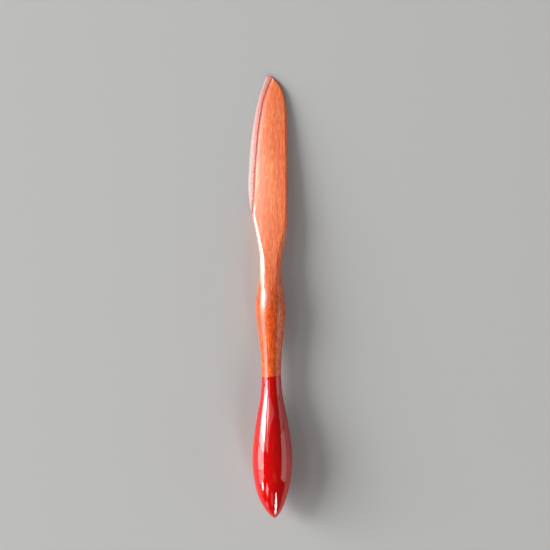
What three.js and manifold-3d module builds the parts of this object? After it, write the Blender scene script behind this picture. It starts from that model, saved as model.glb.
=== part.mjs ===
// A wooden ink knife, lying on its flat back: a carved blade and a turned handle in one
// piece of wood, with the handle end coated in red lacquer.
// Millimetres, +Z up. The knife lies along Y with its tip at +Y and its cutting edge at -X.
// The origin is the middle of the bounding box in X and Y, on the resting plane.

import * as THREE from 'three';
import { ParametricGeometry } from 'three/addons/geometries/ParametricGeometry.js';
import { mergeVertices } from 'three/addons/utils/BufferGeometryUtils.js';
import Module from 'manifold-3d';

const wasm = await Module();
wasm.setup();

// Along the knife, every place is a distance from the butt.
const LENGTH = 200;
const BULB_AT = 27;
const LACQUER_EDGE = 63.5;
const WAIST_AT = 65;
const GRIP_AT = 93.7;
const CARVING_AT = 98; // from here on the turned handle turns into the carved blade
const NECK_AT = 111;
const BEVEL_AT = 136.4;
const BEVEL_OPENING = 1.8; // length over which the heel's flank turns into the cutting edge

const BULB_RADIUS = 9;
const WAIST_RADIUS = 4.3;
const GRIP_RADIUS = 6.7;
const NECK_RADIUS = 4.85;
const BUTT_ROUND = 2.15; // above 2 the bulb stays fuller before it turns in
const BUTT_FULLNESS = 0.7; // 0.5 would be a round end, 1 a sharp one
const BUTT_BEND = 0.8; // how far the butt's point lies off the handle's middle line
const BUTT_BEND_REACH = 10;
const BUTT_BEND_POWER = 1.3;
const SLOPE_LIFT = 0.02; // a sloping round touches the plane just past its widest place

const COAT_THICKNESS = 0.4;
const COAT_GAP = 0.3;
const CORE_OVERLAP = 4; // how far the core runs on into the full body

const EDGE_HEIGHT = 0.4; // the cutting edge's middle, then the top of its round
const EDGE_TOP = 0.75;
const EDGE_ROUND = 0.35;
const SHOULDER_TOP = 1.2; // powers that make the shoulder steep at its foot and crisp at its top
const SHOULDER_FOOT = 0.77;
const SPINE_MIDDLE = 0.45; // height of the spine's widest place, as a share of the thickness
const TIP_ROUND = 1;

// A section's points in each zone: over the top from the cutting edge, then back underneath.
const TOP_ZONES = { edge: 2, bevel: 3, shoulder: 4, face: 8, spine: 5 };
const UNDER_ZONES = { spine: 5, back: 12, edge: 5 };
const TOP_COUNT = countPoints(TOP_ZONES);
const AROUND = TOP_COUNT + countPoints(UNDER_ZONES);
const ALONG = 100;
const ALONG_CORE = 32;
const END_CROWDING = 0.75; // 0 spaces the sections evenly, towards 1 crowds them at the ends

// Half-widths, heights and shares along the knife, [distance from the butt, size].
const handleRadii = smoothThrough([
  [BULB_AT, BULB_RADIUS], [34.5, 8.4], [43.5, 7.03], [52.5, 5.3], [58, 4.6],
  [WAIST_AT, WAIST_RADIUS], [74.5, 4.8], [83.5, 5.8], [88.5, 6.35],
  [GRIP_AT, GRIP_RADIUS], [98, 6.4], [104, 5.5], [108, 4.95], [NECK_AT, NECK_RADIUS],
]);
const edgeReach = smoothThrough([
  [CARVING_AT, 6.5], [104, 5.52], [108, 4.87], [NECK_AT, 4.68], [115, 4.72], [120, 5.15],
  [127, 6.2], [134, 7.55], [137, 8.2], [138.2, 8.62], [143, 9.5], [150, 9.88], [157, 9.5],
  [166, 8.8], [175, 7.65], [184, 6.05], [190.5, 4.45], [195, 2.9], [198, 1.8], [199.7, 1.05],
  [LENGTH, 0.3],
]);
const spineReach = smoothThrough([
  [CARVING_AT, 6.3], [104, 5.48], [108, 5.03], [NECK_AT, 5.03], [115.5, 5.3], [120, 6],
  [124.5, 6.9], [129, 7.65], [133.5, 8.1], [140, 8.2], [165, 8.3], [175, 8.25], [184, 8.02],
  [188.5, 7.5], [192, 6.85], [195, 5.5], [197, 4.05], [198.7, 1.65], [199.7, 0.7], [LENGTH, -0.3],
]);
const bevelWidths = smoothThrough([
  [BEVEL_AT, 0.02], [138, 0.95], [141, 1.8], [144, 2.55], [150, 3.1], [168, 3.05], [180, 2.85],
  [193, 3], [198, 3.4], [LENGTH, 3.6],
]);
const shoulderWidths = smoothThrough([
  [CARVING_AT, 2.6], [106, 2.4], [NECK_AT, 2.35], [116, 2.1], [120, 1.75], [125, 1.4], [130, 1.2],
  [137, 1.05], [146, 0.9], [LENGTH, 0.7],
]);
const shoulderSlopes = smoothThrough([
  [CARVING_AT, 0.5], [NECK_AT, 0.48], [125, 0.4], [137, 0.3], [148, 0.14], [LENGTH, 0.12],
]);
const faceRises = smoothThrough([
  [CARVING_AT, 0.4], [NECK_AT, 0.5], [118, 0.9], [124, 1.5], [130, 2.1], [136, 2.5], [142, 2.7],
  [152, 2.5], [166, 1.85], [180, 1.4], [190, 0.9], [LENGTH, 0.2],
]);
const facePowers = smoothThrough([
  [CARVING_AT, 2], [NECK_AT, 2.5], [118, 2.9], [126, 2.4], [142, 1.9], [152, 2.1], [166, 2.6],
  [LENGTH, 3.2],
]);
const crownHeights = smoothThrough([
  [CARVING_AT, 13], [104, 12], [NECK_AT, 10.9], [120, 9.7], [130, 8.6], [140, 7.5], [155, 6.2],
  [170, 4.7], [183, 3.3], [193, 2.1], [LENGTH, 1.2],
]);
const undersideHeights = smoothThrough([
  [CARVING_AT, 0.2], [104, 0.9], [NECK_AT, 1.2], [120, 0.6], [131, 0],
]);
const underRounds = smoothThrough([
  [CARVING_AT, 3.6], [NECK_AT, 3.2], [125, 2], [134, 1], [140, 0.35],
]);
const spineRounds = smoothThrough([
  [CARVING_AT, 3.4], [NECK_AT, 2.7], [120, 2.5], [130, 1.8], [140, 1.35], [LENGTH, 1.25],
]);

function countPoints(zones) {
  return Object.values(zones).reduce((total, points) => total + points);
}

// A smooth curve through the points that never overshoots between two of them.
function smoothThrough(points) {
  const slope = (i) => (points[i + 1][1] - points[i][1]) / (points[i + 1][0] - points[i][0]);
  const tangent = (i) => {
    if (i === 0 || i === points.length - 1) return 0;
    const before = slope(i - 1);
    const after = slope(i);
    return before * after <= 0 ? 0 : (2 * before * after) / (before + after);
  };
  return (at) => {
    let i = 0;
    while (i < points.length - 2 && at > points[i + 1][0]) i += 1;
    const [start, from] = points[i];
    const [end, to] = points[i + 1];
    const t = THREE.MathUtils.clamp((at - start) / (end - start), 0, 1);
    const bend = (end - start) * (t * (1 - t) ** 2 * tangent(i) - t * t * (1 - t) * tangent(i + 1));
    return from + (to - from) * t * t * (3 - 2 * t) + bend;
  };
}

// The turned handle's radius, or the radius of a core that lies inset below its surface.
function handleRadius(at, inset = 0) {
  if (at >= BULB_AT) return handleRadii(at) - inset;
  const left = 1 - (at - inset) / (BULB_AT - inset);
  return (BULB_RADIUS - inset) * Math.max(0, 1 - left ** BUTT_ROUND) ** BUTT_FULLNESS;
}

// The handle's axis slopes so that the bulb and the grip both touch the resting plane.
function axisHeight(at) {
  const onWay = (at - BULB_AT) / (GRIP_AT - BULB_AT);
  return THREE.MathUtils.lerp(BULB_RADIUS, GRIP_RADIUS, onWay) + SLOPE_LIFT;
}

function buttBend(at) {
  return BUTT_BEND * Math.max(0, 1 - at / BUTT_BEND_REACH) ** BUTT_BEND_POWER;
}

// A point of a round section. Angle 0 is the cutting edge's side, a quarter turn is the top.
function roundPoint(angle, at, inset) {
  const radius = handleRadius(at, inset);
  return [buttBend(at) - radius * Math.cos(angle), axisHeight(at) + radius * Math.sin(angle)];
}

// A point of an oval section in the neck, between the edge's reach and the spine's.
function ovalPoint(angle, at) {
  const middle = (spineReach(at) - edgeReach(at)) / 2;
  const halfWidth = (spineReach(at) + edgeReach(at)) / 2;
  const centre = (crownHeights(at) + undersideHeights(at)) / 2;
  const halfHeight = (crownHeights(at) - undersideHeights(at)) / 2;
  return [middle - halfWidth * Math.cos(angle), centre + halfHeight * Math.sin(angle)];
}

// The sizes of the blade's section at one place.
function bladeSizes(at) {
  const { clamp, lerp, smoothstep } = THREE.MathUtils;
  const width = edgeReach(at) + spineReach(at);
  const bevel = Math.min(bevelWidths(at), width - Math.min(0.3, width / 5));
  const shoulder = Math.min(shoulderWidths(at), 0.45 * (width - bevel));
  const crown = crownHeights(at);
  const face = crown - faceRises(at);
  const foot = face - Math.min(shoulderSlopes(at) * shoulder, face / 2);
  const cut = smoothstep(at, BEVEL_AT, BEVEL_AT + BEVEL_OPENING);
  const under = clamp(undersideHeights(at), 0, crown);
  return {
    left: -edgeReach(at),
    width,
    bevel,
    shoulder,
    crown,
    face,
    foot,
    under,
    power: facePowers(at),
    edgeRound: Math.min(EDGE_ROUND, 0.3 * bevel),
    edgeMiddle: lerp(foot, EDGE_HEIGHT, cut),
    edgeTop: Math.min(lerp(foot, EDGE_TOP, cut), foot),
    underRound: Math.min(underRounds(at), 0.4 * width),
    spine: Math.min(spineRounds(at), (width - bevel) / 2),
    spineMiddle: lerp(under, crown, SPINE_MIDDLE),
  };
}

// How far a share of a length has come, with 0 of no length at all left at 0.
function shareOf(part, whole) {
  return whole > 0 ? THREE.MathUtils.clamp(part / whole, 0, 1) : 0;
}

// How far up a quarter round is, from 0 at its foot to 1 where it levels off.
function quarter(share) {
  return Math.sqrt(1 - (1 - share) ** 2);
}

// The distance across the section of one of its points, found in its zone. Each zone is
// [points, from, to, spacing], and its spacing turns an even share into a crowded one.
function distanceInZones(index, zones) {
  let left = index;
  for (const [points, from, to, spacing = (share) => share] of zones) {
    if (left < points) return THREE.MathUtils.lerp(from, to, spacing(left / points));
    left -= points;
  }
  return zones.at(-1)[2];
}

const crowdedAtStart = (share) => 1 - Math.cos((share * Math.PI) / 2);
const crowdedAtEnd = (share) => Math.sin((share * Math.PI) / 2);

// The blade's upper side: the rounded edge, the flat bevel, the shoulder, the face and half of
// the rounded spine.
function bladeTop(index, size) {
  const { lerp } = THREE.MathUtils;
  const { width, bevel, shoulder, edgeRound, spine } = size;
  const across = distanceInZones(index, [
    [TOP_ZONES.edge, 0, edgeRound, crowdedAtStart],
    [TOP_ZONES.bevel, edgeRound, bevel],
    [TOP_ZONES.shoulder, bevel, bevel + shoulder],
    [TOP_ZONES.face, bevel + shoulder, width - spine],
    [TOP_ZONES.spine, width - spine, width, crowdedAtEnd],
  ]);
  if (across < bevel) {
    const onEdge = lerp(size.edgeMiddle, size.edgeTop, quarter(shareOf(across, edgeRound)));
    return [across, lerp(onEdge, size.foot, shareOf(across - edgeRound, bevel - edgeRound))];
  }
  const onFace = 1 - (1 - shareOf(across - bevel, width - bevel)) ** size.power;
  const upShoulder = 1 - (1 - shareOf(across - bevel, shoulder)) ** SHOULDER_TOP;
  const drop = (size.face - size.foot) * (1 - upShoulder ** SHOULDER_FOOT);
  const height = lerp(size.face, size.crown, onFace) - drop;
  const overSpine = shareOf(across - width + spine, spine);
  return [across, lerp(size.spineMiddle, height, Math.sqrt(1 - overSpine ** 2))];
}

// The blade's flat back, from the spine to the cutting edge.
function bladeBack(index, size) {
  const { width, underRound, spine, under } = size;
  const across = distanceInZones(index, [
    [UNDER_ZONES.spine, width, width - spine, crowdedAtStart],
    [UNDER_ZONES.back, width - spine, underRound],
    [UNDER_ZONES.edge, underRound, 0, crowdedAtEnd],
  ]);
  const nearEdge = (size.edgeMiddle - under) * (1 - quarter(shareOf(across, underRound)));
  const nearSpine = (size.spineMiddle - under) * (1 - quarter(shareOf(width - across, spine)));
  return [across, under + nearEdge + nearSpine];
}

// A point of the knife's section: around runs from the cutting edge over the top to the spine
// and back along the underside.
function knifePoint(around, at) {
  const { lerp, smootherstep } = THREE.MathUtils;
  const index = Math.round(around * AROUND);
  const angle = 2 * Math.PI * around;
  if (at <= CARVING_AT) return roundPoint(angle, at, 0);
  const oval = ovalPoint(angle, at);
  const size = bladeSizes(at);
  const onTop = index < TOP_COUNT;
  const [across, height] = onTop ? bladeTop(index, size) : bladeBack(index - TOP_COUNT, size);
  const carved = smootherstep(at, CARVING_AT, NECK_AT);
  const closing = Math.max(0, (at - LENGTH) / TIP_ROUND + 1);
  const x = lerp(oval[0], size.left + across, carved);
  const z = lerp(oval[1], height, carved);
  return [x, lerp(EDGE_HEIGHT, z, Math.sqrt(1 - closing ** 2))];
}

// A closed solid from sections between two places, with an end that closes in the middle.
function loft(sectionPoint, from, to, steps) {
  const geometry = new ParametricGeometry((u, v, target) => {
    const crowded = v - (END_CROWDING * Math.sin(2 * Math.PI * v)) / (2 * Math.PI);
    const at = from + (to - from) * crowded;
    const [x, z] = sectionPoint(u % 1, at, v);
    target.set(x, at, z);
  }, AROUND, steps);
  return toSolid(geometry);
}

function knifeForm() {
  return loft(knifePoint, 0, LENGTH, ALONG);
}

// The handle end, this much smaller all round than the knife's own surface.
function coreForm(inset) {
  const end = LACQUER_EDGE + CORE_OVERLAP;
  return loft((around, at, v) => {
    const [x, z] = roundPoint(2 * Math.PI * around, at, inset);
    return v < 1 ? [x, z] : [0, axisHeight(at)];
  }, inset, end, ALONG_CORE);
}

// Everything between the butt and one place along the knife.
function slabUpTo(at) {
  const side = 3 * BULB_RADIUS;
  const box = new THREE.BoxGeometry(side, at + side, side);
  box.translate(0, (at - side) / 2, BULB_RADIUS);
  return toSolid(box);
}

function toSolid(geometry) {
  geometry.deleteAttribute('normal');
  geometry.deleteAttribute('uv');
  const merged = mergeVertices(geometry);
  const triangles = [];
  for (let i = 0; i < merged.index.count; i += 3) {
    const [a, b, c] = [0, 1, 2].map((corner) => merged.index.getX(i + corner));
    if (a !== b && b !== c && c !== a) triangles.push(a, b, c);
  }
  return new wasm.Manifold(new wasm.Mesh({
    numProp: 3,
    vertProperties: merged.attributes.position.array,
    triVerts: new Uint32Array(triangles),
  }));
}

function toMesh(name, solid, material) {
  const { vertProperties, triVerts } = solid.getMesh();
  const geometry = new THREE.BufferGeometry();
  geometry.setAttribute('position', new THREE.BufferAttribute(vertProperties, 3));
  geometry.setIndex(new THREE.BufferAttribute(triVerts, 1));
  geometry.computeVertexNormals();
  const mesh = new THREE.Mesh(geometry, material);
  mesh.name = name;
  return mesh;
}

function woodBody() {
  const beyondCoat = knifeForm().subtract(slabUpTo(LACQUER_EDGE + COAT_GAP));
  const body = beyondCoat.add(coreForm(COAT_THICKNESS + COAT_GAP));
  const wood = new THREE.MeshStandardMaterial({ color: 0xf07a4c, roughness: 0.4, metalness: 0 });
  return toMesh('wood_body', body, wood);
}

function redLacquerCoat() {
  const coatedEnd = knifeForm().intersect(slabUpTo(LACQUER_EDGE));
  const coat = coatedEnd.subtract(coreForm(COAT_THICKNESS));
  const lacquer = new THREE.MeshStandardMaterial({ color: 0xcf0a08, roughness: 0.06, metalness: 0 });
  return toMesh('red_lacquer_coat', coat, lacquer);
}

const group = new THREE.Group();
group.add(woodBody(), redLacquerCoat());
const box = new THREE.Box3().setFromObject(group);
const middle = box.getCenter(new THREE.Vector3());
group.position.set(-middle.x, -middle.y, -box.min.z);

export default group;
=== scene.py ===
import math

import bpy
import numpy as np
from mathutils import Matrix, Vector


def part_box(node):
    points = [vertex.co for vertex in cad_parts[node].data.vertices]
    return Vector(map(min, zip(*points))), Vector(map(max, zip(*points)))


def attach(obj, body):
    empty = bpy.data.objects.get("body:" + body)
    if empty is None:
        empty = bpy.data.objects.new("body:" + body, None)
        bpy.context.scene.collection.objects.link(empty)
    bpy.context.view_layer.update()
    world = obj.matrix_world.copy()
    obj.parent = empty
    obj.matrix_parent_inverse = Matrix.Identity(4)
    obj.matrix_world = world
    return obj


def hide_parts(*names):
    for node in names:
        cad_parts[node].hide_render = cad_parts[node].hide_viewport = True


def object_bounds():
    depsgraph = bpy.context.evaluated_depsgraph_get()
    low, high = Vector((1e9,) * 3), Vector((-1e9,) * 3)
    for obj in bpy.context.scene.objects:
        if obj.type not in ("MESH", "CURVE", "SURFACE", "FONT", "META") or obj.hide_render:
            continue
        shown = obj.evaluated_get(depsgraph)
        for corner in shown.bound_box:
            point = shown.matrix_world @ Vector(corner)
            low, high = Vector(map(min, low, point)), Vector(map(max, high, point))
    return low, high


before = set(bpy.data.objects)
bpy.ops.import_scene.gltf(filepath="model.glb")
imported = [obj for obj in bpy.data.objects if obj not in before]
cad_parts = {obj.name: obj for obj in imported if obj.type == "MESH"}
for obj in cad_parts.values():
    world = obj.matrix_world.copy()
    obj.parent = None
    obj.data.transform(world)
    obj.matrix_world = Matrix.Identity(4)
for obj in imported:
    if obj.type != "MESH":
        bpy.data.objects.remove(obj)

# A wooden ink knife with a red lacquered handle end, seen from straight above on a pale floor.
# Every length is in millimetres until a mesh, a light or the camera is made. Every place along
# the knife is a distance from its butt. The cutting edge is on the left (-X) and the tip is
# at +Y.
# A "share" runs from 0 to 1.

MM = 0.001
CAD_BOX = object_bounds()
COAT_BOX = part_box("red_lacquer_coat")

# ---- Driving dimensions, taken from the frame ----
BUTT_Y = COAT_BOX[0].y / MM
AXIS_X = (COAT_BOX[0].x + COAT_BOX[1].x) / 2 / MM
LENGTH = (CAD_BOX[1].y - CAD_BOX[0].y) / MM
LACQUER_EDGE = (COAT_BOX[1].y - COAT_BOX[0].y) / MM
BULB_RADIUS = (COAT_BOX[1].x - COAT_BOX[0].x) / 2 / MM

# ---- Landmarks along the knife ----
BULB_AT = 27
GRIP_AT = 93.7
CARVING_AT = 98
NECK_AT = 111
BEVEL_AT = 136.4
BEVEL_OPENING = 1.8
TIP_ROUND = 1.0
BUTT_JOIN = (BULB_AT - 2, BULB_AT + 1)
CARVING_JOIN = (CARVING_AT, CARVING_AT + 6)
POINTS_JOIN = (BEVEL_AT - 10, BEVEL_AT + 1)
LINE_FADES = (174, 190)

# ---- The turned handle ----
GRIP_RADIUS = 6.7
NECK_RADIUS = 4.85
BUTT_ROUND = 2.15
BUTT_FULLNESS = 0.70
BUTT_BEND = 0.8
BUTT_BEND_REACH = 10
BUTT_BEND_POWER = 1.3
SLOPE_LIFT = 0.02
HANDLE_RADII = [
    (BULB_AT, BULB_RADIUS), (34.5, 8.4), (43.5, 7.03), (52.5, 5.3), (58, 4.6), (65, 4.3),
    (74.5, 4.8), (83.5, 5.8), (88.5, 6.35), (GRIP_AT, GRIP_RADIUS), (98, 6.4), (104, 5.5),
    (108, 4.95), (NECK_AT, NECK_RADIUS), (118, NECK_RADIUS),
]
HANDLE_SWAYS = [
    (8, 0), (14, -0.06), (22, 0), (76, 0), (84, -0.05), (92, -0.1), (99, -0.1), (104, -0.02),
    (NECK_AT, 0.15),
]

# ---- The lacquer ----
COAT_THICKNESS = 0.38
COAT_FIT = 0.02
COAT_LIP = 0.04
COAT_TILT = 0.35
COAT_TILT_REACH = 9
COAT_WAVES = [(0.06, 3, 1), (0.04, 7, 0)]  # height, number round the handle, phase
CORE_INSET = COAT_THICKNESS + COAT_FIT
END_GAP = 0.02

# ---- The carved blade: sizes of its section at each place ----
EDGE_REACH = [
    (98, 6.5), (104, 5.52), (108, 4.87), (NECK_AT, 4.68), (115, 4.72), (120, 5.15), (127, 6.2),
    (134, 7.55), (137, 8.2), (138.2, 8.62), (143, 9.5), (150, 9.88), (157, 9.5), (166, 8.8),
    (175, 7.65), (184, 6.05), (190.5, 4.45), (195, 2.9), (198, 1.8), (199.7, 1.05), (LENGTH, 0.5),
]
SPINE_REACH = [
    (98, 6.3), (104, 5.48), (108, 5.03), (NECK_AT, 5.03), (115.5, 5.3), (120, 6), (124.5, 6.9),
    (129, 7.65), (133.5, 8.1), (140, 8.2), (165, 8.3), (175, 8.25), (184, 8.02), (188.5, 7.5),
    (192, 6.85), (195, 5.5), (197, 4.05), (198.7, 1.65), (199.7, 0.7), (LENGTH, -0.1),
]
BEVEL_WIDTHS = [
    (BEVEL_AT, 0.02), (138, 0.95), (141, 1.8), (144, 2.65), (150, 3.3), (168, 3.3), (177, 3.2),
    (184, 3.1), (193, 3.05), (198, 3.4), (LENGTH, 3.6),
]
SHOULDER_WIDTHS = [
    (98, 2.6), (106, 2.4), (NECK_AT, 2.35), (116, 2.1), (120, 1.75), (125, 1.4), (130, 1.2),
    (137, 1.1), (143, 1.6), (180, 1.6), (LENGTH, 1.0),
]
SHOULDER_SLOPES = [(98, 0.5), (NECK_AT, 0.48), (125, 0.4), (137, 0.22), (141, 0.05), (LENGTH, 0.05)]
FACE_RISES = [
    (98, 0.4), (NECK_AT, 0.5), (118, 0.9), (124, 1.5), (130, 2.1), (136, 2.5), (142, 2.7),
    (152, 2.5), (166, 1.85), (180, 1.4), (190, 0.9), (LENGTH, 0.2),
]
FACE_POWERS = [
    (98, 2), (NECK_AT, 2.5), (118, 2.9), (126, 2.4), (142, 1.9), (152, 2.1), (166, 2.6),
    (LENGTH, 3.2),
]
CROWNS = [
    (98, 13.0), (104, 12.0), (NECK_AT, 10.9), (120, 9.7), (130, 8.6), (140, 7.5), (155, 6.2),
    (170, 4.7), (183, 3.3), (193, 2.1), (LENGTH, 1.2),
]
UNDERSIDES = [(98, 0.2), (104, 0.9), (NECK_AT, 1.2), (120, 0.6), (131, 0), (LENGTH, 0)]
UNDER_ROUNDS = [(98, 3.6), (NECK_AT, 3.2), (125, 2), (134, 1.0), (140, 0.35), (LENGTH, 0.35)]
SPINE_ROUNDS = [(98, 3.4), (NECK_AT, 2.7), (120, 2.5), (130, 1.8), (140, 1.35), (LENGTH, 1.25)]
SHOULDER_TOP = 1.2
SHOULDER_FOOT = 0.77
EDGE_HEIGHT = 0.4
EDGE_TOP = 0.75
EDGE_ROUND = 0.35
CORNER_WIDTH = 1.1
GROOVE_DEPTH = 0.32
GROOVE_HALF = 0.3
GROOVE_INSET = 0.38
GROOVE_TIP_DEPTH = 0.6  # share of the depth that is left at the tip
# The dark line along the bevel's inner corner is partly a stain where the finish ends and partly painted
# shade of the groove there; the next two set its half width and where it fades at the tip.
STAIN_AND_SHADE_HALF = 0.62
STAIN_AND_SHADE_FADES = (LENGTH - 3, LENGTH - 1)
RAW_BORDER = 0.06
JAGS = [(0.14, 1.2), (0.07, 5.0)]  # depth and length of the bevel line's random bumps
JAGS_START = (BEVEL_AT + 1, BEVEL_AT + 5)
SPINE_MIDDLE = 0.45  # height of the spine's widest place, as a share of the thickness

# Limits that keep the parts of a narrow section from running into each other.
LEAST_BEVEL = 0.01
LEAST_FACE = 0.3
LEAST_FACE_SHARE = 0.2
SHOULDER_SHARE = 0.45
DROP_SHARE = 0.5
SPINE_SHARE = 0.5
UNDER_SHARE = 0.4
EDGE_SHARE = 0.3

# How far each curve's bends are eased, in millimetres.
EASE_HANDLE = 1.6
EASE_SWAY = 2.0
EASE_OUTLINE = 0.5
EASE_BEVEL = 0.4
EASE_ROUNDS = 1.0
EASE_SLOPE = 1.2
EASE_UNDERSIDE = 1.5
EASE_FACE = 2.5
EASE_CROWN = 4.0

# Spacing of the sections along each stretch, as (place, spacing) stops.
CORE_STOPS = [(CORE_INSET + END_GAP, 0.3), (3, 1.5), (60, 2), (LACQUER_EDGE, 1)]
GRIP_STOPS = [(LACQUER_EDGE + COAT_FIT, 0.03), (66, 0.6), (CARVING_AT, 0.5)]
CARVED_STOPS = [
    (CARVING_AT, 0.45), (132, 0.35), (135, 0.25), (142, 0.25), (195, 0.3), (199, 0.12),
    (LENGTH - END_GAP, 0.04),
]
COAT_STOPS = [(0.01, 0.05), (1, 0.15), (4, 0.4), (LACQUER_EDGE - 2 * COAT_LIP, 0.5)]
COAT_INNER_STOPS = [(COAT_THICKNESS + END_GAP, 0.2), (3, 1), (LACQUER_EDGE, 1.5)]
COAT_AROUND = 144
LIP_TURNS = (0.3, math.pi / 2, 4)  # first angle, last angle and number of rings

# Points round a section in each zone: over the top from the cutting edge, then back underneath.
TOP_ZONES = {"edge": 8, "bevel": 12, "corner": 10, "shoulder": 16, "face": 60, "spine": 22}
UNDER_ZONES = {"spine": 12, "back": 34, "edge": 8}
TOP_COUNT = sum(TOP_ZONES.values())
UNDER_COUNT = sum(UNDER_ZONES.values())

RANDOM = np.random.default_rng(7)


# ---- Curves ----
def monotone(points, at):
    """A smooth curve through the points that never overshoots between two of them."""
    x, y = np.array(points, float).T
    slope = np.diff(y) / np.diff(x)
    both = slope[:-1] * slope[1:]
    total = slope[:-1] + slope[1:]
    tangent = np.zeros_like(y)
    tangent[1:-1] = np.where(both > 0, 2 * both / np.where(both > 0, total, 1), 0)
    i = np.clip(np.searchsorted(x, at, side="right") - 1, 0, len(x) - 2)
    span = x[i + 1] - x[i]
    t = np.clip((at - x[i]) / span, 0, 1)
    bend = span * (t * (1 - t) ** 2 * tangent[i] - t * t * (1 - t) * tangent[i + 1])
    return y[i] + (y[i + 1] - y[i]) * t * t * (3 - 2 * t) + bend


def softened(points, at, softness):
    """The same curve with its bends eased over about this many millimetres."""
    step = 0.1
    pad = 4 * softness
    grid = np.arange(-pad, LENGTH + pad, step)
    weight = np.exp(-0.5 * (np.arange(-pad, pad + step / 2, step) / softness) ** 2)
    curve = np.convolve(monotone(points, grid), weight / weight.sum(), "same")
    return np.interp(at, grid, curve)


def wander(at, period):
    """A seeded random wave between about -1 and 1 with bumps of this length."""
    knots = np.arange(-2 * period, LENGTH + 3 * period, period)
    return monotone(list(zip(knots, RANDOM.uniform(-1, 1, len(knots)))), at)


def smoothstep(at, low, high):
    t = np.clip((at - low) / (high - low), 0, 1)
    return t * t * (3 - 2 * t)


def eased(at, low, high):
    """Like smoothstep, but its curvature also starts and ends at nothing."""
    t = np.clip((at - low) / (high - low), 0, 1)
    return t**3 * (10 - 15 * t + 6 * t * t)


def mix(a, b, weight):
    return a + (b - a) * weight


def places(stops):
    """Places along the knife from (place, spacing) stops, with the spacing blended between."""
    found = [stops[0][0]]
    while found[-1] < stops[-1][0]:
        found.append(found[-1] + np.interp(found[-1], *zip(*stops)))
    found[-1] = stops[-1][0]
    return np.array(found)


# ---- Shape of the turned handle ----
def handle_radius(at, inset):
    """Radius at each place, or that of a core this far below the surface."""
    left = 1 - (at - inset) / (BULB_AT - inset)
    butt = (BULB_RADIUS - inset) * np.clip(1 - np.abs(left) ** BUTT_ROUND, 0, None) ** BUTT_FULLNESS
    turned = softened(HANDLE_RADII, at, EASE_HANDLE) - inset
    return mix(butt, turned, smoothstep(at, *BUTT_JOIN))


def axis_height(at):
    """Height of the handle's middle line, sloped so that bulb and grip both just touch down."""
    return mix(BULB_RADIUS, GRIP_RADIUS, (at - BULB_AT) / (GRIP_AT - BULB_AT)) + SLOPE_LIFT


def axis_sway(at):
    """How far the handle's middle line strays sideways, most of all at the butt's point."""
    bend = BUTT_BEND * np.clip(1 - at / BUTT_BEND_REACH, 0, None) ** BUTT_BEND_POWER
    return bend + softened(HANDLE_SWAYS, at, EASE_SWAY)


def lacquer_line(angle):
    """How far the lacquer's edge lies from its mean place, round the handle."""
    waves = [height * np.sin(count * angle + phase) for height, count, phase in COAT_WAVES]
    return sum(waves, -COAT_TILT * np.cos(angle))


def ring(at, inset, angles):
    """A round section: points from the cutting edge's side over the top and back underneath."""
    shift = lacquer_line(angles) * np.exp(-(((at - LACQUER_EDGE) / COAT_TILT_REACH) ** 2))
    place = at + shift
    radius = handle_radius(place, inset)
    x = axis_sway(place) - radius * np.cos(angles)
    z = axis_height(place) + radius * np.sin(angles)
    return np.stack([x, place, z], axis=-1)


def rings(stops, inset, angles):
    return np.stack([ring(at, inset, angles) for at in places(stops)])


# ---- Shape of the carved blade ----
def zone(name, zones):
    """Shares from 0 up to just below 1 for one zone's points."""
    return np.arange(zones[name]) / zones[name]


def section_angles():
    """Angles round a section, from 0 at the cutting edge's side over the top to the spine's."""
    top = np.arange(TOP_COUNT) / TOP_COUNT * math.pi
    under = math.pi + np.arange(UNDER_COUNT) / UNDER_COUNT * math.pi
    return np.concatenate([top, under])


def blade_rows(at):
    """Sizes of the blade's section at each place, as columns that broadcast over its points."""
    jagged = sum(depth * wander(at, period) for depth, period in JAGS)
    jagged *= smoothstep(at, *JAGS_START)
    reach = softened(EDGE_REACH, at, EASE_OUTLINE)
    far = softened(SPINE_REACH, at, EASE_OUTLINE)
    width = reach + far
    widest_bevel = width - np.minimum(LEAST_FACE, LEAST_FACE_SHARE * width)
    bevel = np.minimum(softened(BEVEL_WIDTHS, at, EASE_BEVEL) + jagged, widest_bevel)
    bevel = np.clip(bevel, LEAST_BEVEL, None)
    rest = width - bevel
    crown = softened(CROWNS, at, EASE_CROWN)
    face = crown - softened(FACE_RISES, at, EASE_FACE)
    shoulder = np.minimum(softened(SHOULDER_WIDTHS, at, EASE_ROUNDS), SHOULDER_SHARE * rest)
    drop = softened(SHOULDER_SLOPES, at, EASE_SLOPE) * shoulder
    sizes = {
        "at": at,
        "left": -reach,
        "width": width,
        "bevel": bevel,
        "face_from": softened(BEVEL_WIDTHS, at, EASE_CROWN) - softened(EDGE_REACH, at, EASE_CROWN),
        "face_to": softened(SPINE_REACH, at, EASE_CROWN),
        "power": softened(FACE_POWERS, at, EASE_FACE),
        "shoulder": shoulder,
        "drop": np.minimum(drop, DROP_SHARE * face),
        "spine": np.minimum(softened(SPINE_ROUNDS, at, EASE_ROUNDS), SPINE_SHARE * rest),
        "face": face,
        "crown": crown,
        "under": softened(UNDERSIDES, at, EASE_UNDERSIDE),
        "under_round": np.minimum(softened(UNDER_ROUNDS, at, EASE_ROUNDS), UNDER_SHARE * width),
        # 0 on the heel and 1 where the bevel is cut in full.
        "cut": smoothstep(at, BEVEL_AT, BEVEL_AT + BEVEL_OPENING),
    }
    return {name: values[:, None] for name, values in sizes.items()}


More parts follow.
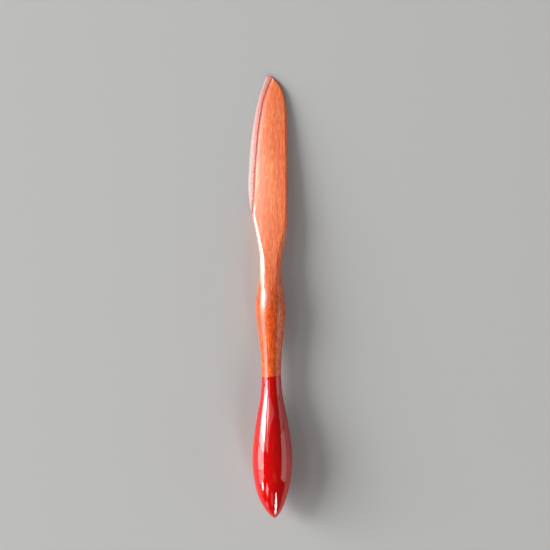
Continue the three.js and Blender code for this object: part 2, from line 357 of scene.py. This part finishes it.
def top_distances(sizes):
    """How far each of the top's points lies from the cutting edge."""
    edge_round = np.minimum(EDGE_ROUND, EDGE_SHARE * sizes["bevel"])
    corner = np.minimum(CORNER_WIDTH, EDGE_SHARE * sizes["bevel"])
    turn = zone("edge", TOP_ZONES) * math.pi / 2
    edge = edge_round * (1 - np.cos(turn))
    bevel = mix(edge_round, sizes["bevel"] - corner, zone("bevel", TOP_ZONES))
    inner = mix(sizes["bevel"] - corner, sizes["bevel"], zone("corner", TOP_ZONES))
    shoulder = sizes["bevel"] + sizes["shoulder"] * zone("shoulder", TOP_ZONES)
    face = mix(sizes["bevel"] + sizes["shoulder"], sizes["width"] - sizes["spine"], zone("face", TOP_ZONES))
    turn = zone("spine", TOP_ZONES) * math.pi / 2
    spine = sizes["width"] - sizes["spine"] * (1 - np.sin(turn))
    return np.hstack([edge, bevel, inner, shoulder, face, spine])


def under_distances(sizes):
    """The same for the underside, from the spine back to the cutting edge."""
    turn = zone("spine", UNDER_ZONES) * math.pi / 2
    spine = sizes["width"] - sizes["spine"] * (1 - np.cos(turn))
    back = mix(sizes["width"] - sizes["spine"], sizes["under_round"], zone("back", UNDER_ZONES))
    turn = zone("edge", UNDER_ZONES) * math.pi / 2
    edge = sizes["under_round"] * (1 - np.sin(turn))
    return np.hstack([spine, back, edge])


def quarter(share):
    """How far up a quarter round is, from 0 at its foot to 1 where it levels off."""
    share = np.clip(share, 0, 1)
    return np.sqrt(1 - (1 - share) ** 2)


def edge_mid(sizes):
    """Height of the leftmost point: the cutting edge, or the heel's flank beyond the bevel."""
    return mix(sizes["face"] - sizes["drop"], EDGE_HEIGHT, sizes["cut"])


def spine_mid(sizes):
    """Height of the rightmost point, where the spine's two quarter rounds meet."""
    return mix(sizes["under"], sizes["crown"], SPINE_MIDDLE)


def face_height(sizes, distance):
    """Height of the domed face, which climbs from the bevel's side to its crown at the spine."""
    x = sizes["left"] + distance
    share = np.clip((x - sizes["face_from"]) / (sizes["face_to"] - sizes["face_from"]), 0, 1)
    return mix(sizes["face"], sizes["crown"], 1 - (1 - share) ** sizes["power"])


def bevel_height(sizes, distance):
    """The flat bevel from the rounded cutting edge up to a shallow groove at its inner corner."""
    foot = sizes["face"] - sizes["drop"]
    edge_round = np.minimum(EDGE_ROUND, EDGE_SHARE * sizes["bevel"])
    edge_top = np.minimum(mix(foot, EDGE_TOP, sizes["cut"]), foot)
    on_edge = mix(edge_mid(sizes), edge_top, quarter(distance / edge_round))
    along = np.clip((distance - edge_round) / (sizes["bevel"] - edge_round), 0, 1)
    off_groove = (sizes["bevel"] - GROOVE_INSET - distance) / GROOVE_HALF
    depth = GROOVE_DEPTH * mix(1, GROOVE_TIP_DEPTH, smoothstep(sizes["at"], *LINE_FADES))
    groove = depth * sizes["cut"] * np.exp(-(off_groove**2))
    return mix(on_edge, foot, along) - groove


def blade_top(sizes, distance):
    """Height of the upper side: bevel, shoulder, face and the spine's upper quarter round."""
    share = np.clip((distance - sizes["bevel"]) / sizes["shoulder"], 0, 1)
    lift = (1 - (1 - share) ** SHOULDER_TOP) ** mix(SHOULDER_FOOT, 1, sizes["cut"])
    on_face = face_height(sizes, distance) - sizes["drop"] * (1 - lift)
    height = np.where(distance < sizes["bevel"], bevel_height(sizes, distance), on_face)
    over = np.clip((distance - sizes["width"] + sizes["spine"]) / sizes["spine"], 0, 1)
    return mix(spine_mid(sizes), height, np.sqrt(1 - over**2))


def blade_under(sizes, distance):
    """Height of the underside, flat between the quarter rounds at the edge and the spine."""
    low = sizes["under"]
    near_edge = (edge_mid(sizes) - low) * (1 - quarter(distance / sizes["under_round"]))
    near_spine = (spine_mid(sizes) - low) * (1 - quarter((sizes["width"] - distance) / sizes["spine"]))
    return low + near_edge + near_spine


def oval_height(sizes, x, side):
    """Height on the neck's oval section: side is 1 over the top and -1 underneath."""
    middle = sizes["left"] + sizes["width"] / 2
    share = np.clip((x - middle) / (sizes["width"] / 2), -1, 1)
    centre = (sizes["crown"] + sizes["under"]) / 2
    return centre + side * (sizes["crown"] - sizes["under"]) / 2 * np.sqrt(1 - share**2)


def carved_rows(at, angles):
    """Points of the neck and blade, as rows by points round by x, y, z, with their sizes and x."""
    sizes = blade_rows(at)
    middle = sizes["left"] + sizes["width"] / 2
    even = middle - sizes["width"] / 2 * np.cos(angles)
    distance = np.hstack([top_distances(sizes), under_distances(sizes)])
    x = mix(even, sizes["left"] + distance, smoothstep(sizes["at"], *POINTS_JOIN))
    top, under = x[:, :TOP_COUNT], x[:, TOP_COUNT:]
    oval = np.hstack([oval_height(sizes, top, 1), oval_height(sizes, under, -1)])
    blade = np.hstack([blade_top(sizes, top - sizes["left"]), blade_under(sizes, under - sizes["left"])])
    z = mix(oval, blade, eased(sizes["at"], CARVING_AT, NECK_AT))
    closing = np.clip((sizes["at"] - LENGTH) / TIP_ROUND + 1, 0, 1)
    z = mix(EDGE_HEIGHT, z, np.sqrt(1 - closing**2))
    rows = np.stack([x, np.broadcast_to(sizes["at"], x.shape), z], axis=-1)
    turned = np.stack([ring(s, 0.0, angles) for s in at])
    return mix(turned, rows, smoothstep(at, *CARVING_JOIN)[:, None, None]), sizes, x


# ---- Meshes ----
def skin(name, rows, attributes=None):
    """A closed mesh from rows of points round a section, with a fan at each end."""
    count, around, _ = rows.shape
    index = np.arange(count * around).reshape(count, around)
    ahead = np.roll(index, -1, 1)
    faces = np.stack([index[:-1], ahead[:-1], ahead[1:], index[1:]], axis=-1).reshape(-1, 4).tolist()
    start, end = count * around, count * around + 1
    faces += [(start, int(q), int(p)) for p, q in zip(index[0], ahead[0])]
    faces += [(end, int(p), int(q)) for p, q in zip(index[-1], ahead[-1])]
    poles = np.stack([rows[0].mean(0), rows[-1].mean(0)])
    points = np.vstack([rows.reshape(-1, 3), poles])
    mesh = bpy.data.meshes.new(name)
    mesh.from_pydata(((points + np.array([AXIS_X, BUTT_Y, 0])) * MM).tolist(), [], faces)
    for key, values in (attributes or {}).items():
        layer = mesh.attributes.new(key, "FLOAT", "POINT")
        layer.data.foreach_set("value", np.append(values.reshape(-1), [0, 0]).astype(np.float32))
    mesh.shade_smooth()
    mesh.update()
    piece = bpy.data.objects.new(name, mesh)
    bpy.context.scene.collection.objects.link(piece)
    return piece


def wood_body():
    """All of the wood: the slim core inside the lacquer, its shoulder, the grip and the blade."""
    angles = section_angles()
    core = rings(CORE_STOPS, CORE_INSET, angles)
    grip = rings(GRIP_STOPS, 0.0, angles)[:-1]
    carved, sizes, x = carved_rows(places(CARVED_STOPS), angles)
    distance = x - sizes["left"]
    upper = np.zeros_like(x)
    upper[:, :TOP_COUNT] = sizes["cut"]
    lined = upper * (1 - smoothstep(sizes["at"], *STAIN_AND_SHADE_FADES))
    border = (sizes["bevel"] - RAW_BORDER, sizes["bevel"] + RAW_BORDER)
    paint = {
        "raw": upper * (1 - smoothstep(distance, *border)),
        # The dark line at the bevel's inner corner: stain and painted groove shade together.
        "stain_and_shade": lined * np.exp(-(((distance - sizes["bevel"] + GROOVE_INSET) / STAIN_AND_SHADE_HALF) ** 4)),
        "rim": sizes["cut"] * np.clip(1 - distance / sizes["bevel"], 0, 1),
    }
    plain = np.zeros((len(core) + len(grip), len(angles)))
    attributes = {name: np.concatenate([plain, values]) for name, values in paint.items()}
    piece = skin("wood_body_carved", np.concatenate([core, grip, carved]), attributes)
    piece.data.materials.append(wood_material())
    return piece


def red_coat():
    """The lacquer: a thin sock, its outside first, then its rounded lip and its inside."""
    angles = np.linspace(0, 2 * math.pi, COAT_AROUND, endpoint=False)
    outside = rings(COAT_STOPS, 0.0, angles)
    lip = np.stack([
        ring(LACQUER_EDGE - COAT_LIP * (1 - math.sin(turn)), COAT_LIP * (1 - math.cos(turn)), angles)
        for turn in np.linspace(*LIP_TURNS)
    ])
    inside = rings(COAT_INNER_STOPS, COAT_THICKNESS, angles)
    piece = skin("red_lacquer_skin", np.concatenate([outside, lip, inside[::-1]]))
    piece.data.materials.append(lacquer_material())
    return piece


# ---- Materials ----
WOOD_MID = (0.72, 0.160, 0.053, 1)
WOOD_LIGHT = (0.74, 0.25, 0.082, 1)
WOOD_GOLDEN = (0.78, 0.27, 0.085, 1)
WOOD_DARK = (0.56, 0.085, 0.024, 1)
WOOD_PORE = (0.40, 0.050, 0.014, 1)
GRIP_MID = (0.77, 0.104, 0.015, 1)
GRIP_LIGHT = (0.76, 0.19, 0.038, 1)
GRIP_DARK = (0.38, 0.026, 0.002, 1)
RAW_WOOD = (0.37, 0.255, 0.235, 1)
RAW_DARK = (0.34, 0.13, 0.10, 1)
RAW_INNER = (0.46, 0.14, 0.09, 1)
RAW_TIP = (0.60, 0.155, 0.11, 1)
RAW_RIM = (0.44, 0.33, 0.31, 1)
# The dark line at the bevel's inner corner: stain where the finish ends together with painted shade of its
# groove, a little lighter towards the tip.
STAIN_AND_SHADE = (0.33, 0.034, 0.018, 1)
STAIN_AND_SHADE_TIP = (0.44, 0.047, 0.018, 1)
LACQUER_RED = (0.47, 0.001, 0.001, 1)
# Lighter orange clouds on the red lacquer: painted reflections of the room.
LACQUER_PAINTED_REFLECTION = (0.60, 0.020, 0.001, 1)
FLOOR_COLOUR = (0.38, 0.38, 0.375, 1)

# Noise layers: blob size in millimetres along x, y and z, detail, roughness, offset, and the
# two noise values between which the layer comes in.
LAYERS = {
    "broad": ((1.8, 45, 3), 2, 0.5, 0, (0.36, 0.64)),
    "streaks": ((0.8, 18, 2.0), 2, 0.5, 3, (0.44, 0.62)),
    "bright": ((0.7, 10, 1.6), 2, 0.5, 8, (0.52, 0.66)),
    "fibres": ((0.5, 4, 0.9), 2, 0.5, 23, (0.42, 0.6)),
    "pores": ((0.35, 1.6, 0.5), 2, 0.5, 5, (0.56, 0.68)),
    "flecks": ((0.9, 1.8, 1.2), 2, 0.6, 31, (0.5, 0.66)),
    "ragged": ((0.7, 1.0, 0.7), 2, 0.6, 17, (0.34, 0.56)),
    # The lacquer's painted reflections of the room.
    "painted_reflection_cloud": ((2.5, 7, 2.5), 2, 0.5, 0, (0.56, 0.78)),
}
RAW_FIBRE = ((0.7, 1.1, 0.7), 3, 0.65, 11)
RAW_FIBRE_ENDS = (0.44, 0.60)
LACQUER_SWELL = ((3.0, 11, 3.0), 1, 0.4, 4)
# How strongly each layer of the grain shows.
STRENGTH = {
    "broad": 0.45, "golden": 0.6, "bright": 0.8, "streaks": 0.55, "fibres": 0.6, "flecks": 0.8,
    "pores": 0.5, "raw_fibre": 0.8,
}
FEWER_STREAKS = 0.35  # share of the streaks that the handle lacks
FILLED_PORES = 0.85  # share of the pores' depth that the handle's gloss fills
# Least share of the ragged stain and painted groove shade line that shows.
LEAST_STAIN_AND_SHADE = 0.35

# Stretches along the knife over which the wood's look changes.
GRIP_LOOK_ENDS = (88, 122)
GRIP_GLOSS_ENDS = (94, 106)
POLISH_CHANGES = (112, 142)
GOLDEN_STARTS = (128, 140)
GOLDEN_ENDS = (156, 172)
INNER_SPREADS = (152, 182)
BARE_REDDENS = (158, 192)
# Places across the knife between which the golden streak comes in and goes out.
GOLDEN_LEFT = (-2.2, 0.8)
GOLDEN_RIGHT = (0.8, 3.4)
# Shares of the bevel's width from its inner corner.
INNER_SPREAD = 0.22
INNER_BAND = (0.0, 0.5)
RIM_BAND = (0.5, 0.9)
RIM_STRENGTH = 0.9

NECK_ROUGHNESS = 0.19
BLADE_ROUGHNESS = 0.27
GRIP_ROUGHNESS_GAIN = 0.06
RAW_ROUGHNESS = 0.75
RAW_RELIEF = 2.0
WOOD_SPECULAR = 0.78
WOOD_BUMP = (0.02, 0.5)  # depth in millimetres and strength
LACQUER_BUMP = (0.04, 0.16)
LACQUER_ROUGHNESS = 0.3
COAT_ROUGHNESS = 0.04
COAT_INDEX = 1.76
FLOOR_ROUGHNESS = 0.9
FLOOR_SPECULAR = 0.2


class Nodes:
    """A material's node tree with short calls to add and link its nodes."""

    def __init__(self, name):
        self.material = bpy.data.materials.new(name)
        self.material.use_nodes = True
        self.tree = self.material.node_tree
        self.shader = self.tree.nodes["Principled BSDF"]

    def add(self, kind, inputs=None, **settings):
        node = self.tree.nodes.new(kind)
        for key, value in settings.items():
            setattr(node, key, value)
        for key, value in (inputs or {}).items():
            self.feed(node.inputs[key], value)
        return node

    def feed(self, socket, value):
        if isinstance(value, bpy.types.NodeSocket):
            self.tree.links.new(value, socket)
        else:
            socket.default_value = value

    def where(self):
        return self.add("ShaderNodeTexCoord").outputs["Object"]

    def along(self, ends):
        """0 before one place along the knife and 1 after the other, in millimetres from the butt."""
        y = self.add("ShaderNodeSeparateXYZ", {0: self.where()}).outputs["Y"]
        return self.ramp(y, tuple((BUTT_Y + end) * MM for end in ends))

    def across(self, ends):
        """0 to the left of one place across the knife and 1 to the right of the other."""
        x = self.add("ShaderNodeSeparateXYZ", {0: self.where()}).outputs["X"]
        return self.ramp(x, tuple((AXIS_X + end) * MM for end in ends))

    def layer(self, name, results=(0.0, 1.0)):
        """One of the noise layers, from 0 where it is absent to 1 where it is full."""
        *recipe, ends = LAYERS[name]
        return self.ramp(self.noise(*recipe), ends, results)

    def noise(self, size, detail, rough, offset):
        """Noise whose blobs have about this size in millimetres along x, y and z."""
        scale = tuple(1 / MM / s for s in size)
        shift = (offset, 2 * offset, 3 * offset)
        place = self.add("ShaderNodeMapping", {"Vector": self.where(), "Scale": scale, "Location": shift})
        inputs = {"Vector": place.outputs[0], "Scale": 1.0, "Detail": detail, "Roughness": rough}
        return self.add("ShaderNodeTexNoise", inputs).outputs["Fac"]

    def ramp(self, value, ends, results=(0.0, 1.0)):
        inputs = {"Value": value, "From Min": ends[0], "From Max": ends[1]}
        inputs.update({"To Min": results[0], "To Max": results[1]})
        return self.add("ShaderNodeMapRange", inputs, interpolation_type="SMOOTHSTEP").outputs["Result"]

    def math(self, kind, a, b):
        return self.add("ShaderNodeMath", {0: a, 1: b}, operation=kind).outputs[0]

    def times(self, a, b):
        return self.math("MULTIPLY", a, b)

    def minus(self, a, b):
        return self.math("SUBTRACT", a, b)

    def blend(self, factor, a, b):
        return self.add("ShaderNodeMix", {0: factor, 6: a, 7: b}, data_type="RGBA").outputs[2]

    def attribute(self, name):
        return self.add("ShaderNodeAttribute", attribute_name=name).outputs["Fac"]

    def bump(self, height, distance, strength):
        inputs = {"Height": height, "Distance": distance * MM, "Strength": strength}
        return self.add("ShaderNodeBump", inputs).outputs[0]

    def set(self, **inputs):
        for key, value in inputs.items():
            self.feed(self.shader.inputs[key.replace("_", " ")], value)


def wood_grain(nodes, handle, pores):
    """The colour of the finished wood: layer on layer of lighter and darker grain."""
    mid = nodes.blend(handle, WOOD_MID, GRIP_MID)
    light = nodes.blend(handle, WOOD_LIGHT, GRIP_LIGHT)
    dark = nodes.blend(handle, WOOD_DARK, GRIP_DARK)
    golden = nodes.times(nodes.across(GOLDEN_LEFT), nodes.minus(1.0, nodes.across(GOLDEN_RIGHT)))
    golden = nodes.times(golden, nodes.minus(nodes.along(GOLDEN_STARTS), nodes.along(GOLDEN_ENDS)))
    streaks = nodes.times(nodes.layer("streaks"), nodes.minus(1.0, nodes.times(handle, FEWER_STREAKS)))
    flecks = nodes.times(nodes.layer("flecks"), handle)
    colour = mid
    for name, layer, tint in (
        ("broad", nodes.layer("broad"), light),
        ("golden", golden, WOOD_GOLDEN),
        ("bright", nodes.layer("bright"), light),
        ("streaks", streaks, dark),
        ("fibres", nodes.layer("fibres"), dark),
        ("flecks", flecks, dark),
        ("pores", pores, WOOD_PORE),
    ):
        colour = nodes.blend(nodes.times(layer, STRENGTH[name]), colour, tint)
    return colour


def bare_wood(nodes, fibre):
    """The colour of the raw bevel, redder at its inner corner and paler at its outer rim."""
    rim = nodes.attribute("rim")
    inner = nodes.minus(rim, nodes.times(nodes.along(INNER_SPREADS), INNER_SPREAD))
    bare = nodes.blend(nodes.along(BARE_REDDENS), RAW_WOOD, RAW_TIP)
    bare = nodes.blend(nodes.times(nodes.ramp(fibre, RAW_FIBRE_ENDS), STRENGTH["raw_fibre"]), bare, RAW_DARK)
    bare = nodes.blend(nodes.ramp(inner, INNER_BAND), RAW_INNER, bare)
    return nodes.blend(nodes.ramp(rim, RIM_BAND, (0.0, RIM_STRENGTH)), bare, RAW_RIM)


def wood_material():
    nodes = Nodes("reddish_wood")
    handle = nodes.minus(1.0, nodes.along(GRIP_LOOK_ENDS))
    pores = nodes.layer("pores")
    raw = nodes.attribute("raw")
    fibre = nodes.noise(*RAW_FIBRE)
    colour = nodes.blend(raw, wood_grain(nodes, handle, pores), bare_wood(nodes, fibre))
    # Darken the line at the bevel's inner corner with stain plus painted shade of the groove.
    stain_and_shade = nodes.blend(nodes.along(LINE_FADES), STAIN_AND_SHADE, STAIN_AND_SHADE_TIP)
    stained_and_shaded = nodes.times(nodes.attribute("stain_and_shade"), nodes.layer("ragged", (LEAST_STAIN_AND_SHADE, 1.0)))
    colour = nodes.blend(stained_and_shaded, colour, stain_and_shade)

    rough = nodes.ramp(nodes.along(POLISH_CHANGES), (0, 1), (NECK_ROUGHNESS, BLADE_ROUGHNESS))
    on_grip = nodes.minus(1.0, nodes.along(GRIP_GLOSS_ENDS))
    rough = nodes.math("ADD", rough, nodes.times(on_grip, GRIP_ROUGHNESS_GAIN))
    rough = nodes.add("ShaderNodeMapRange", {"Value": raw, "To Min": rough, "To Max": RAW_ROUGHNESS})
    open_pores = nodes.times(pores, nodes.minus(1.0, nodes.times(handle, FILLED_PORES)))
    relief = nodes.minus(nodes.times(fibre, nodes.times(raw, RAW_RELIEF)), open_pores)
    nodes.set(Base_Color=colour, Roughness=rough.outputs["Result"], Normal=nodes.bump(relief, *WOOD_BUMP))
    nodes.shader.inputs["Specular IOR Level"].default_value = WOOD_SPECULAR
    return nodes.material


def lacquer_material():
    nodes = Nodes("red_lacquer")
    swell = nodes.noise(*LACQUER_SWELL)
    # Lighter orange clouds of painted reflection over the red.
    colour = nodes.blend(nodes.layer("painted_reflection_cloud"), LACQUER_RED, LACQUER_PAINTED_REFLECTION)
    nodes.set(Base_Color=colour, Roughness=LACQUER_ROUGHNESS, Coat_Normal=nodes.bump(swell, *LACQUER_BUMP))
    nodes.shader.inputs["Specular IOR Level"].default_value = 0.0
    nodes.shader.inputs["Coat Weight"].default_value = 1.0
    nodes.shader.inputs["Coat Roughness"].default_value = COAT_ROUGHNESS
    nodes.shader.inputs["Coat IOR"].default_value = COAT_INDEX
    return nodes.material


# ---- Floor, light and camera ----
FLOOR_HALF = 1500
LIGHT_DISTANCE = 4000
WORLD_STRENGTH = 0.05
WHITE = (1, 1, 1)
WARM = (1, 0.95, 0.92)
# Name, azimuths and elevations in degrees, radiance and colour. Azimuth 0 is towards the butt
# and 90 is towards the cutting edge.
LIGHTS = [
    ("window_near", (96, 106), (20, 42), 20, WHITE),
    ("window_far", (106, 122), (16, 40), 20, WHITE),
    ("window_edge", (90, 96), (20, 41), 9.5, WHITE),
    ("window_edge_foot", (90, 96), (1, 20), 6.5, WHITE),
    ("window_side", (73, 90), (1, 39), 4.5, WHITE),
    ("window_end", (63, 73), (1, 36), 2.6, WHITE),
    ("window_sill", (96, 122), (8, 20), 13, WHITE),
    ("window_foot", (96, 122), (1, 8), 8, WHITE),
    ("window_haze", (93, 107), (42, 66), 1.2, WHITE),
    ("skylight", (109, 126), (49, 58), 7.5, WHITE),
    ("upper_glow", (112, 142), (58, 70), 0.6, WHITE),
    ("ceiling", (125, 215), (62, 76), 0.55, WHITE),
    ("pane_end", (55, 62.5), (11, 25), 12, WHITE),
    ("pane_top", (34, 47), (31, 47), 3.2, WHITE),
    ("pane_foot", (32, 40), (1, 14), 1.6, WHITE),
    ("doorway_top", (328.5, 337), (37, 43.5), 11, WHITE),
    ("doorway_head", (329, 341), (30, 37), 13, WHITE),
    ("doorway", (332, 348), (16, 30), 14, WHITE),
    ("doorway_foot", (337, 355), (3, 16), 10, WHITE),
    ("door_edge", (358, 372), (30, 50), 0.5, WHITE),
    ("far_wall_near", (256, 264), (1, 29), 0.8, WARM),
    ("far_wall", (264, 297), (1, 34), 1.2, WARM),
]

CAMERA_PLACE = (2.42, 8.67, 400)
CAMERA_ROLL = -0.54
VIEW_WIDTH = 252.285  # width of floor that the camera sees
SENSOR = 36


def place_floor():
    side = FLOOR_HALF * MM
    corners = [(-side, -side, 0), (side, -side, 0), (side, side, 0), (-side, side, 0)]
    mesh = bpy.data.meshes.new("floor")
    mesh.from_pydata(corners, [], [(0, 1, 2, 3)])
    piece = bpy.data.objects.new("floor", mesh)
    bpy.context.scene.collection.objects.link(piece)
    nodes = Nodes("pale_floor")
    nodes.set(Base_Color=FLOOR_COLOUR, Roughness=FLOOR_ROUGHNESS)
    nodes.shader.inputs["Specular IOR Level"].default_value = FLOOR_SPECULAR
    mesh.materials.append(nodes.material)


def panel(name, azimuths, elevations, radiance, colour):
    """A flat soft light that fills this window of directions as seen from the knife."""
    azimuth, elevation = (math.radians(sum(ends) / 2) for ends in (azimuths, elevations))
    wide, tall = (math.radians(ends[1] - ends[0]) / 2 for ends in (azimuths, elevations))
    level = math.cos(elevation)
    away = Vector((-math.sin(azimuth) * level, -math.cos(azimuth) * level, math.sin(elevation)))
    light = bpy.data.lights.new(name, "AREA")
    light.shape = "RECTANGLE"
    light.size = 2 * math.tan(wide) * level * LIGHT_DISTANCE * MM
    light.size_y = 2 * math.tan(tall) * LIGHT_DISTANCE * MM
    light.energy = radiance * math.pi * light.size * light.size_y
    light.color = colour
    lamp = bpy.data.objects.new(name, light)
    lamp.location = away * LIGHT_DISTANCE * MM
    lamp.rotation_euler = (-away).to_track_quat("-Z", "Y").to_euler()
    lamp.visible_camera = False
    bpy.context.scene.collection.objects.link(lamp)


def light_studio():
    for name, azimuths, elevations, radiance, colour in LIGHTS:
        panel(name, azimuths, elevations, radiance, colour)
    world = bpy.data.worlds.new("studio")
    world.use_nodes = True
    background = world.node_tree.nodes["Background"]
    background.inputs["Color"].default_value = (*WHITE, 1)
    background.inputs["Strength"].default_value = WORLD_STRENGTH
    bpy.context.scene.world = world
    bpy.context.scene.view_settings.view_transform = "Standard"


def place_camera():
    view = bpy.data.cameras.new("camera")
    view.sensor_width = SENSOR
    view.lens = SENSOR * CAMERA_PLACE[2] / VIEW_WIDTH
    view.clip_start = 0.01
    eye = bpy.data.objects.new("camera", view)
    eye.location = Vector(CAMERA_PLACE) * MM
    eye.rotation_euler = (0, 0, math.radians(CAMERA_ROLL))
    bpy.context.scene.collection.objects.link(eye)
    bpy.context.scene.camera = eye


def declare(piece, node):
    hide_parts(node)
    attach(piece, "root")


declare(wood_body(), "wood_body")
declare(red_coat(), "red_lacquer_coat")
place_floor()
light_studio()
place_camera()
